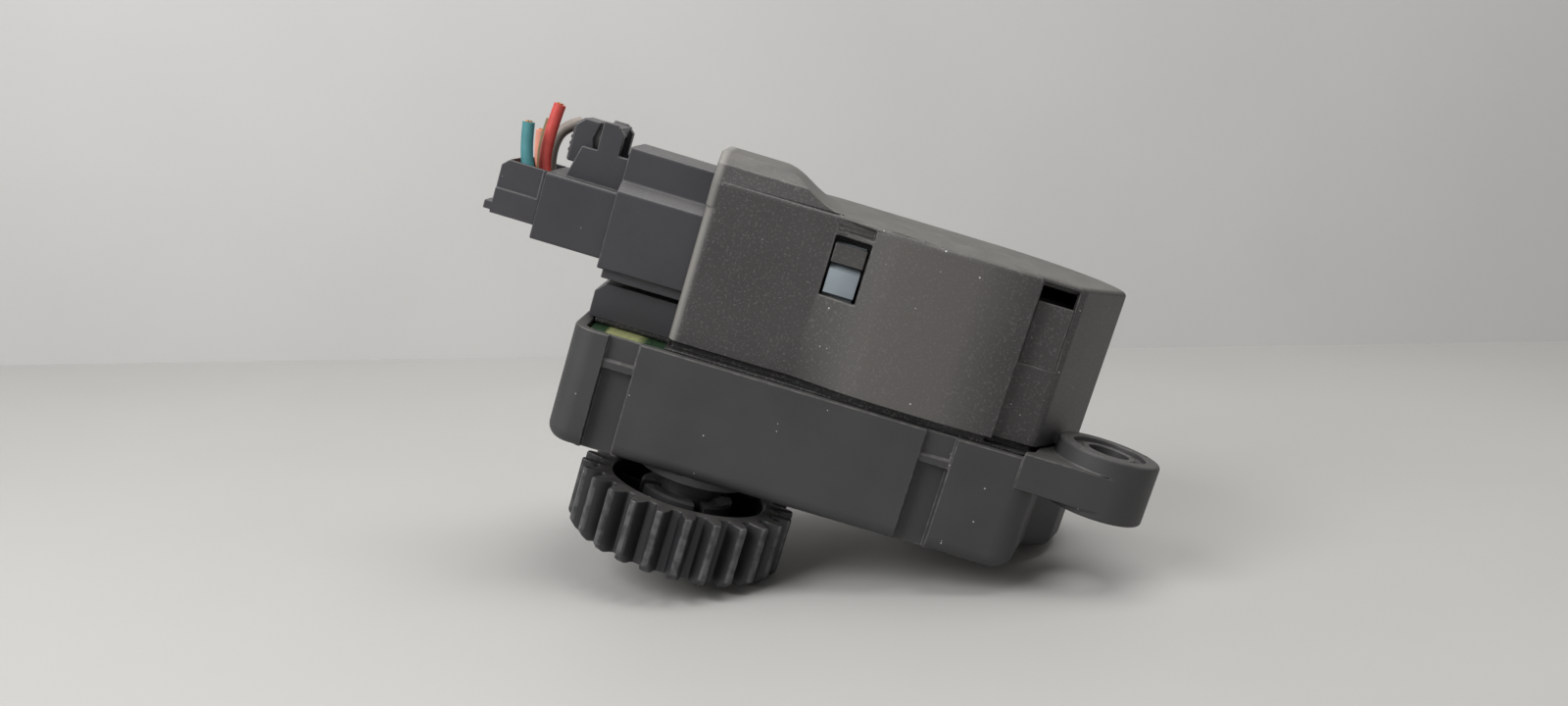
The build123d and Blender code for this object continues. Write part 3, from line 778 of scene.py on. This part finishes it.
def rounded_plate(lowest: Place, highest: Place, radius: float) -> bpy.types.Mesh:
    """Plate with rounded edges.

    Args:
        lowest: Its lowest corner, in millimetres.
        highest: Its highest corner, in millimetres.
        radius: Radius of its edges, in millimetres.

    Returns:
        The mesh, with its edges marked as worn.
    """
    low, high = Vector(mm(*lowest)), Vector(mm(*highest))
    work = bmesh.new()
    centre, size = (low + high) / 2, high - low
    place = Matrix.Translation(centre) @ Matrix.Diagonal((*size, 1.0))
    bmesh.ops.create_cube(work, size=1.0, matrix=place)
    wear = work.faces.layers.float.new("wear")
    rounded = bmesh.ops.bevel(work, geom=work.edges[:], offset=radius * MM, segments=3,
                              profile=0.5, affect="EDGES")
    for face in rounded["faces"]:
        face[wear] = 1.0
    mesh = bpy.data.meshes.new("plate")
    work.to_mesh(mesh)
    work.free()
    return settled(mesh)


# Sub-assemblies


@dataclass
class CasingSet:
    """The two casings with the snap windows' ridges."""

    round_radius: float = 0.20
    window_x: tuple[float, float] = (10.0, 15.2)
    ridge_z: float = 39.62
    ridge_step: float = 0.62
    ridge_size: tuple[float, float] = (0.45, 0.24)
    recess_y: float = -7.5
    plates: tuple[tuple[str, Place, Place], ...] = (
        ("window_tongue", (10.25, -7.05, 35.35), (14.95, -6.35, 38.1)),
        ("window_blind", (9.6, -3.9, 33.0), (15.6, -3.3, 40.2)),
        ("side_shutter", (39.65, -6.75, 29.05), (44.95, -5.95, 38.4)),
    )

    def build(self, rack: FinishRack) -> None:
        """Builds both casings, the plates behind the windows and the ridges."""
        Softened("lower_casing", self.round_radius).place(
            "lower_casing_shell", "housing", "casing_plastic", rack)
        Softened("upper_casing", self.round_radius).place(
            "upper_casing_shell", "housing", "cover_plastic", rack)
        self._ridges(rack)
        for name, low, high in self.plates:
            add_piece(name, rounded_plate(low, high, 0.16), "housing", "cover_plastic", rack)

    def _ridges(self, rack: FinishRack) -> None:
        """Fine ridges across the recess over the front snap window."""
        low, high = self.window_x
        deep, tall = self.ridge_size
        recipe = Recipe("window_ridges")
        bar = recipe.bar("Ridge", mm(high - low + 0.2, deep, tall),
                         mm((low + high) / 2, self.recess_y, self.ridge_z))
        row = recipe.in_a_row(bar, recipe.size("Ridges", 3),
                              recipe.size("Step", mm(0, 0.02, self.ridge_step)))
        mesh = recipe.run(row, rack.materials["cover_plastic"])
        add_piece("window_ridges", mesh, "housing", "cover_plastic", rack)


@dataclass
class OutputGear:
    """Outer spur gear: involute teeth, recessed face, ribs and a split snap hub."""

    teeth: int = 24
    module: float = 1.25
    pressure: float = 20.0
    backlash: float = 0.10
    tooth_angle: float = -83.8
    height: tuple[float, float] = (-12.95, -3.5)
    recess_radius: float = 11.6
    hub_radius: float = 7.0
    hub_height: tuple[float, float] = (-14.1, -4.1)
    collar_radius: float = 8.4
    web: tuple[float, float] = (-11.6, -9.8)
    bore: tuple[float, float] = (4.55, 3.85)
    tip_chamfer: float = 1.2
    edge: float = 0.28
    rib_angle: float = 156.0
    slot_angle: float = 111.0
    rib_bar: tuple[Place, Place] = ((5.0, 1.2, 4.3), (9.3, 0, -8.25))
    slot_bar: tuple[Place, Place] = ((5.5, 1.6, 9.0), (5.75, 0, -4.5))
    arms: int = 4

    def _half_width(self, radius: float) -> float:
        """Half the angle that a tooth takes up at a radius, in radians."""
        pressure = math.radians(self.pressure)
        pitch = self.module * self.teeth / 2
        roll = math.acos(pitch * math.cos(pressure) / radius)
        at_pitch = (math.pi * self.module / 2 - self.backlash) / 2 / pitch
        return at_pitch + math.tan(pressure) - pressure - math.tan(roll) + roll

    def _outline(self) -> list[Vector]:
        """One pitch of the toothed outline, from the middle of one gap to the next."""
        pitch, half = self.module * self.teeth / 2, math.pi / self.teeth
        tip, root = pitch + self.module, pitch - 1.2 * self.module
        base = pitch * math.cos(math.radians(self.pressure))
        foot = self._half_width(base * 1.0001)
        flank = [base * 1.0001 + (tip - 0.12 - base) * step / 7 for step in range(8)]
        side = [(half, root), ((half + foot) / 2 + 0.006, root), (foot + 0.012, root + 0.08),
                (foot + 0.002, root + 0.32)]
        side += [(self._half_width(radius), radius) for radius in flank]
        top = self._half_width(tip)
        side += [(top - 0.001, tip - 0.03), (top * 0.72, tip), (top * 0.3, tip)]
        whole = [(-angle, radius) for angle, radius in side] + [(a, r) for a, r in side[::-1]]
        return [Vector((r * math.cos(a), r * math.sin(a), 0)) for a, r in whole]

    def _seed(self) -> bpy.types.Mesh:
        """Wedge of the gear that holds one tooth, open at its two sides."""
        line = self._outline()
        outward = []
        for i, point in enumerate(line):
            along = line[min(i + 1, len(line) - 1)] - line[max(i - 1, 0)]
            edge_point = i in (0, len(line) - 1)
            outward.append(point.normalized() if edge_point
                           else Vector((along.y, -along.x, 0)).normalized())
        low, high = self.height
        tip = self.module * (self.teeth / 2 + 1)

        def level(z: float, drawn_in: float = 0.0, limit: float = tip + 1) -> list[Vector]:
            """Toothed ring at a height, drawn in, and cut to a radius."""
            ring = []
            for point, out in zip(line, outward):
                place = point - out * drawn_in
                if place.length > limit:
                    place *= limit / place.length
                ring.append(Vector((place.x, place.y, z)) * MM)
            return ring

        def turned(radius: float, z: float) -> list[Vector]:
            """Round ring at a radius and a height."""
            return [Vector((*(point.xy.normalized() * radius), z)) * MM for point in line]

        rings = []
        edge, cut = self.edge, self.tip_chamfer
        for radius, z, above in self._inner_profile():
            if above:
                rings.append(turned(radius, z))
        rings += [level(high, edge), level(high - 0.3 * edge, 0.3 * edge), level(high - edge)]
        rings += [level(low + cut + 0.2), level(low + cut - 0.1, 0, tip - 0.12)]
        rings += [level(low + edge, 0, tip - cut + edge), level(low, edge, tip - cut - 0.1)]
        for radius, z, above in self._inner_profile():
            if not above:
                rings.append(turned(radius, z))
        return closed_rings(rings, loop=False, caps=False)

    def _inner_profile(self) -> list[tuple[float, float, bool]]:
        """Radius and height of each round ring, and whether it lies above the web."""
        low, high = self.height
        hub_low, hub_high = self.hub_height
        web_low, web_high = self.web
        bore, hub, collar, rim = self.bore[0], self.hub_radius, self.collar_radius, self.recess_radius
        soft = 0.35
        top = [(bore, hub_high - soft), (bore + soft, hub_high), (hub - soft, hub_high),
               (hub, hub_high - soft), (hub, web_high + soft), (hub + soft, web_high),
               (rim - soft, web_high), (rim, web_high + soft), (rim, high - soft),
               (rim + soft, high)]
        bottom = [(rim + soft, low), (rim, low + soft), (rim, web_low), (collar, web_low),
                  (collar, low + soft), (collar - soft, low), (hub, low), (hub, hub_low + soft),
                  (hub - soft, hub_low), (bore + soft, hub_low), (bore, hub_low + soft)]
        return [(r, z, True) for r, z in top] + [(r, z, False) for r, z in bottom]

    def build(self, rack: FinishRack) -> None:
        """Builds the gear by turning its wedge about the axis, then adds ribs and hub slots."""
        recipe = Recipe("output_gear")
        count = recipe.size("Teeth", self.teeth)
        first = recipe.size("First tooth", math.radians(self.tooth_angle))
        ring = recipe.round_about(recipe.seed, count, first)
        ring = recipe.node("MergeByDistance", {0: ring, "Distance": 0.002 * MM})
        ring = self._flatten_bore(recipe, ring)
        slot = recipe.bar("Slot", *(mm(*part) for part in self.slot_bar))
        slots = recipe.round_about(slot, self.arms,
                                   recipe.size("First slot", math.radians(self.slot_angle)))
        cut = recipe.node("MeshBoolean", {"Mesh 1": ring, "Mesh 2": slots},
                          operation="DIFFERENCE", solver="EXACT")
        rib = recipe.bar("Rib", *(mm(*part) for part in self.rib_bar))
        ribs = recipe.round_about(rib, self.arms,
                                  recipe.size("First rib", math.radians(self.rib_angle)))
        whole = recipe.node("MeshBoolean", {"Mesh 2": [cut, ribs]}, operation="UNION",
                            solver="EXACT")
        mesh = recipe.run(whole, rack.materials["gear_plastic"], self._seed())
        self._mark_wear(mesh)
        add_piece("outer_spur_gear", settled(mesh, 40.0), "output", "gear_plastic", rack,
                  ("output_gear",))

    def _flatten_bore(self, recipe: Recipe, ring: Any) -> Any:
        """Presses two flats into the round bore.

        Args:
            recipe: The gear's recipe.
            ring: Socket of the gear with its round bore.

        Returns:
            Socket of the gear with flats.
        """
        radius, flat = self.bore
        place = recipe.node("InputPosition", {})
        parts = recipe.node("ShaderNodeSeparateXYZ", {0: place}).node.outputs
        level = recipe.node("ShaderNodeCombineXYZ", {0: parts[0], 1: parts[1]})
        length = recipe.node("ShaderNodeVectorMath", {0: level}, operation="LENGTH").node.outputs[1]
        inside = recipe.sum("LESS_THAN", length, recipe.size("Bore", (radius + 0.1) * MM))
        reach = recipe.size("Flat", flat * MM)
        held = recipe.sum("MINIMUM", parts[0], reach)
        held = recipe.sum("MAXIMUM", held, recipe.sum("MULTIPLY", reach, -1.0))
        moved = recipe.node("ShaderNodeCombineXYZ", {0: held, 1: parts[1], 2: parts[2]})
        return recipe.node("SetPosition", {"Geometry": ring, "Selection": inside,
                                           "Position": moved})

    def _mark_wear(self, mesh: bpy.types.Mesh) -> None:
        """Marks the tips of the teeth, which run against the driven wheel, as worn."""
        wear = mesh.attributes.new("wear", "FLOAT", "FACE")
        tip = (self.module * (self.teeth / 2 + 1) - 0.35) * MM
        worn = [1.0 if face.center.xy.length > tip else 0.0 for face in mesh.polygons]
        wear.data.foreach_set("value", worn)


@dataclass
class Connector:
    """Socket with its pins, and the plug with its cover and latch lever."""

    ways: int = 5
    pitch: float = 2.5
    pin_side: float = 0.64
    pin_point: float = 0.55
    socket_radius: float = 0.16
    plug_radius: float = 0.14
    cover_radius: float = 0.12
    latch_radius: float = 0.35
    grips: int = 4
    grip_size: tuple[float, float] = (0.36, 0.4)
    grip_inset: float = 1.2
    grip_drop: float = 2.2
    grip_step: float = 0.95

    def build(self, rack: FinishRack) -> None:
        """Builds the plastic parts, the pins and the lever's grip."""
        Softened("header_shell", self.socket_radius).place(
            "socket_shell", "housing", "connector_plastic", rack)
        for node, name, body, radius in (("plug_housing", "plug_body", "plug", self.plug_radius),
                                         ("plug_cover", "plug_wire_cover", "plug", self.cover_radius),
                                         ("latch_lever", "latch_thumb_lever", "latch", self.latch_radius)):
            Softened(node, radius).place(name, body, "plug_plastic", rack)
        self._pins(rack)
        self._grip(rack)

    def _pins(self, rack: FinishRack) -> None:
        """Square pins with pointed ends, bent down to the board."""
        low, high = (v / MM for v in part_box("header_pins"))
        half = self.pin_side / 2
        bend, top = high.x - half, high.z - half
        stages = ((low.x, 0.0, top, 0.4 * half, 0.4 * half),
                  (low.x + self.pin_point, 0.0, top, half, half),
                  (bend, half, top, half, half), (bend, half, low.z, 0.0, half))
        rings = [[Vector((x + b * slope, low.y + half + a * wide, z + b * rise)) * MM
                  for a, b in ((-1, -1), (1, -1), (1, 1), (-1, 1))]
                 for x, slope, z, rise, wide in stages]
        seed = closed_rings(rings, loop=True, caps=True)
        recipe = Recipe("pin_row")
        row = recipe.in_a_row(recipe.seed, recipe.size("Ways", self.ways),
                              recipe.size("Pitch", mm(0, self.pitch, 0)))
        mesh = recipe.run(row, rack.materials["tin"], seed)
        add_piece("pin_row", mesh, "housing", "tin", rack, ("header_pins",))

    def _grip(self, rack: FinishRack) -> None:
        """Fine grip ridges on the back of the thumb lever's tab."""
        low, high = (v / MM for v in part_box("latch_lever"))
        deep, tall = self.grip_size
        recipe = Recipe("thumb_grip")
        bar = recipe.bar("Ridge", mm(deep, high.y - low.y - self.grip_inset, tall),
                         mm(low.x, (low.y + high.y) / 2, high.z - self.grip_drop))
        row = recipe.in_a_row(bar, recipe.size("Ridges", self.grips),
                              recipe.size("Step", mm(0, 0, -self.grip_step)))
        mesh = recipe.run(row, rack.materials["plug_plastic"])
        add_piece("thumb_grip", mesh, "latch", "plug_plastic", rack)


class Strand(Enum):
    """The five wires by colour, with the length of each in millimetres."""

    TEAL = 31.4
    RED = 33.1
    BROWN = 31.1
    GREY = 32.8
    ORANGE = 30.2

    @property
    def node(self) -> str:
        """CAD node of the wire."""
        return f"wire_{self.name.lower()}"

    @property
    def slot(self) -> str:
        """Material slot of its insulation."""
        return f"{self.name.lower()}_insulation"


def hidden_run(across: float, sway: float, turn: float) -> list[Place]:
    """First points of a wire in the plug: its place across, its sway, and where it turns up."""
    return [(-11.8, across, 30.5), (-21, across + sway, 30.42), (turn, across, 30.5)]


def default_routes() -> dict[Strand, list[Place]]:
    """Points that each wire follows from its terminal, in millimetres."""
    return {
        Strand.RED: hidden_run(2.6, 0.05, -29.4) + [
            (-32.9, 2.8, 33.9), (-33.9, 3.1, 39.3), (-33.3, 2.9, 44.8)],
        Strand.TEAL: hidden_run(0.1, 0.05, -30.0) + [
            (-34.3, 0.2, 33.4), (-36.0, 0.3, 37.4), (-36.5, 0.2, 41.3)],
        Strand.BROWN: hidden_run(5.1, -0.05, -29.6) + [
            (-33.4, 5.0, 33.8), (-34.6, 4.9, 38.2), (-34.2, 4.8, 42.2)],
        Strand.GREY: hidden_run(7.6, 0.05, -29.2) + [
            (-33.0, 7.7, 33.6), (-33.9, 8.1, 38.2), (-33.0, 8.9, 41.6), (-30.7, 9.7, 42.8)],
        Strand.ORANGE: hidden_run(10.1, 0.05, -30.2) + [
            (-34.3, 10.0, 33.2), (-35.8, 9.9, 36.6), (-36.2, 9.7, 40.0)],
    }


@dataclass
class WireLoom:
    """Five cut wires that run from the plug's terminals out through its cover."""

    radius: float = 0.9
    strand_radius: float = 0.17
    strand_stub: float = 0.22
    strand_lay: float = 0.34
    strand_count: int = 6
    routes: dict[Strand, list[Place]] = field(default_factory=default_routes)

    def build(self, rack: FinishRack) -> None:
        """Builds each wire as a smooth curve, with bare copper at its cut end."""
        for strand, route in self.routes.items():
            self._wire(strand, route, rack)

    def _wire(self, strand: Strand, route: list[Place], rack: FinishRack) -> None:
        """Builds one wire.

        Args:
            strand: Which wire.
            route: Its points, in millimetres.
            rack: The finishes.
        """
        curve = bpy.data.curves.new(f"{strand.node}_run", "CURVE")
        curve.dimensions = "3D"
        spline = curve.splines.new("NURBS")
        spline.points.add(len(route) - 1)
        for point, place in zip(spline.points, route):
            point.co = (*mm(*place), 1.0)
        spline.order_u = 3
        spline.use_endpoint_u = True
        spline.resolution_u = 16
        curve.bevel_depth = self.radius * MM
        curve.bevel_resolution = 6
        curve.use_fill_caps = True
        wire = linked(f"{strand.node}_run", curve)
        curve.materials.append(rack.materials[strand.slot])
        core = self._core(strand, route, rack)
        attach(wire, "plug")
        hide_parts(strand.node)
        LOG.info("%s: %.1f mm of wire on plug", wire.name, strand.value)

    def _core(self, strand: Strand, route: list[Place], rack: FinishRack) -> bpy.types.Object:
        """Copper strands that show in the cut end.

        Args:
            strand: Which wire.
            route: Its points, in millimetres.
            rack: The finishes.

        Returns:
            The strands, one piece.
        """
        end, before = Vector(route[-1]), Vector(route[-2])
        recipe = Recipe(f"{strand.node}_core")
        thin = recipe.size("Strand radius", self.strand_radius * MM)
        deep = recipe.size("Strand length", 4 * self.strand_stub * MM)
        rod = recipe.node("MeshCylinder", {"Vertices": 10, "Radius": thin, "Depth": deep},
                          fill_type="NGON")
        aside = recipe.size("Lay radius", mm(self.strand_lay, 0, 0))
        ring = recipe.round_about(recipe.node("Transform", {"Geometry": rod, "Translation": aside}),
                                  recipe.size("Strands", self.strand_count), 0.0)
        whole = recipe.node("JoinGeometry", {0: [ring, rod]})
        mesh = recipe.run(whole, rack.materials["copper"])
        turn = (end - before).to_track_quat("Z", "X").to_matrix().to_4x4()
        centre = (end - (end - before).normalized() * self.strand_stub) * MM
        mesh.transform(Matrix.Translation(centre) @ turn)
        return add_piece(f"{strand.node}_core", mesh, "plug", "copper", rack)


@dataclass
class Innards:
    """The inner pieces, which keep their CAD shapes."""

    replaced: tuple[str, ...] = ("lower_casing", "upper_casing", "header_shell", "header_pins",
                                 "plug_housing", "plug_cover", "latch_lever", "output_gear")

    def build(self, rack: FinishRack) -> None:
        """Gives every CAD node that stays in view its finish."""
        wires = {strand.node for strand in Strand}
        kept = sorted(set(frame["nodes"]) - set(self.replaced) - wires)
        rack.dress_carried(kept)
        for node in kept:
            LOG.info("%s: kept from the frame", node)


# Stage, lights and camera


@dataclass(frozen=True)
class Lamp:
    """Soft square light, aimed at the object."""

    name: str
    place: Place
    size: float
    power: float
    tint: Colour = (1.0, 1.0, 1.0)

    def build(self, aim: Vector) -> None:
        """Hangs the light and turns it to the aim."""
        data = bpy.data.lights.new(self.name, "AREA")
        data.shape = "SQUARE"
        data.size, data.energy, data.color = self.size, self.power, self.tint
        lamp = linked(self.name, data)
        lamp.location = self.place
        lamp.rotation_mode = "QUATERNION"
        lamp.rotation_quaternion = (aim - Vector(self.place)).to_track_quat("-Z", "Y")


@dataclass
class Studio:
    """Pale table and wall, soft lights and the camera. The object leans on its gear."""

    lean: float = 16.5
    floor_level: float = -16.85
    wall_distance: float = 182.0
    wall_turn: float = 6.7
    reach: float = 900.0
    floor_tone: Colour = (0.42, 0.416, 0.408)
    wall_tone: Colour = (0.535, 0.535, 0.53)
    world_tone: Colour = (1.0, 0.995, 0.985)
    world_strength: float = 0.33
    camera_place: Place = (3.477, -197.302, 55.815)
    camera_yaw: float = 1.29
    camera_pitch: float = -10.36
    camera_roll: float = 16.78
    lens: float = 31.5
    lamps: tuple[Lamp, ...] = (
        Lamp("window", (-0.30, -0.24, 0.20), 0.26, 1.75, (1.0, 0.99, 0.98)),
        Lamp("ceiling", (-0.06, -0.02, 0.58), 0.34, 2.2, (1.0, 0.99, 0.97)),
    )

    def build(self) -> None:
        """Builds the stage, the lights and the camera."""
        self._sheets()
        low, high = CAD_BOX
        for lamp in self.lamps:
            lamp.build((low + high) / 2)
        world = bpy.data.worlds.new("studio")
        bpy.context.scene.world = world
        world.use_nodes = True
        background = world.node_tree.nodes["Background"]
        background.inputs["Color"].default_value = (*self.world_tone, 1.0)
        background.inputs["Strength"].default_value = self.world_strength
        bpy.context.scene.view_settings.view_transform = "Standard"
        self._camera()

    def _sheets(self) -> None:
        """Floor and wall, square to each other and tilted together under the leaning object."""
        lean = Matrix.Rotation(-math.radians(self.lean), 4, "Y")
        turn = Matrix.Rotation(math.radians(self.wall_turn), 4, "Z")
        far, level = self.reach, self.floor_level
        wall_y = self.wall_distance
        floor = [(-far, -far, level), (far, -far, level), (far, wall_y, level),
                 (-far, wall_y, level)]
        wall = [(-far, wall_y, level), (far, wall_y, level), (far, wall_y, level + far),
                (-far, wall_y, level + far)]
        for name, corners, tone in (("floor", floor, self.floor_tone),
                                    ("wall", wall, self.wall_tone)):
            mesh = bpy.data.meshes.new(name)
            mesh.from_pydata([mm(*corner) for corner in corners], [], [(0, 1, 2, 3)])
            mesh.transform(lean @ turn)
            sheet = linked(name, mesh)
            mesh.materials.append(PaintedSheet(name, tone).make())

    def _camera(self) -> None:
        """Camera at its place, turned by yaw, pitch and roll."""
        data = bpy.data.cameras.new("camera")
        data.lens, data.clip_start, data.clip_end = self.lens, 0.01, 10.0
        camera = linked("camera", data)
        camera.location = mm(*self.camera_place)
        yaw = Matrix.Rotation(-math.radians(self.camera_yaw), 3, "Z")
        pitch = Matrix.Rotation(math.radians(90 + self.camera_pitch), 3, "X")
        roll = Matrix.Rotation(math.radians(self.camera_roll), 3, "Z")
        camera.rotation_mode = "QUATERNION"
        camera.rotation_quaternion = (yaw @ pitch @ roll).to_quaternion()
        bpy.context.scene.camera = camera


def main() -> None:
    """Builds the stage, then every sub-assembly in order."""
    logging.basicConfig(level=logging.INFO, format="%(message)s")
    Studio().build()
    rack = FinishRack()
    WireLoom().build(rack)
    CasingSet().build(rack)
    OutputGear().build(rack)
    Connector().build(rack)
    Innards().build(rack)


if __name__ == "__main__":
    main()
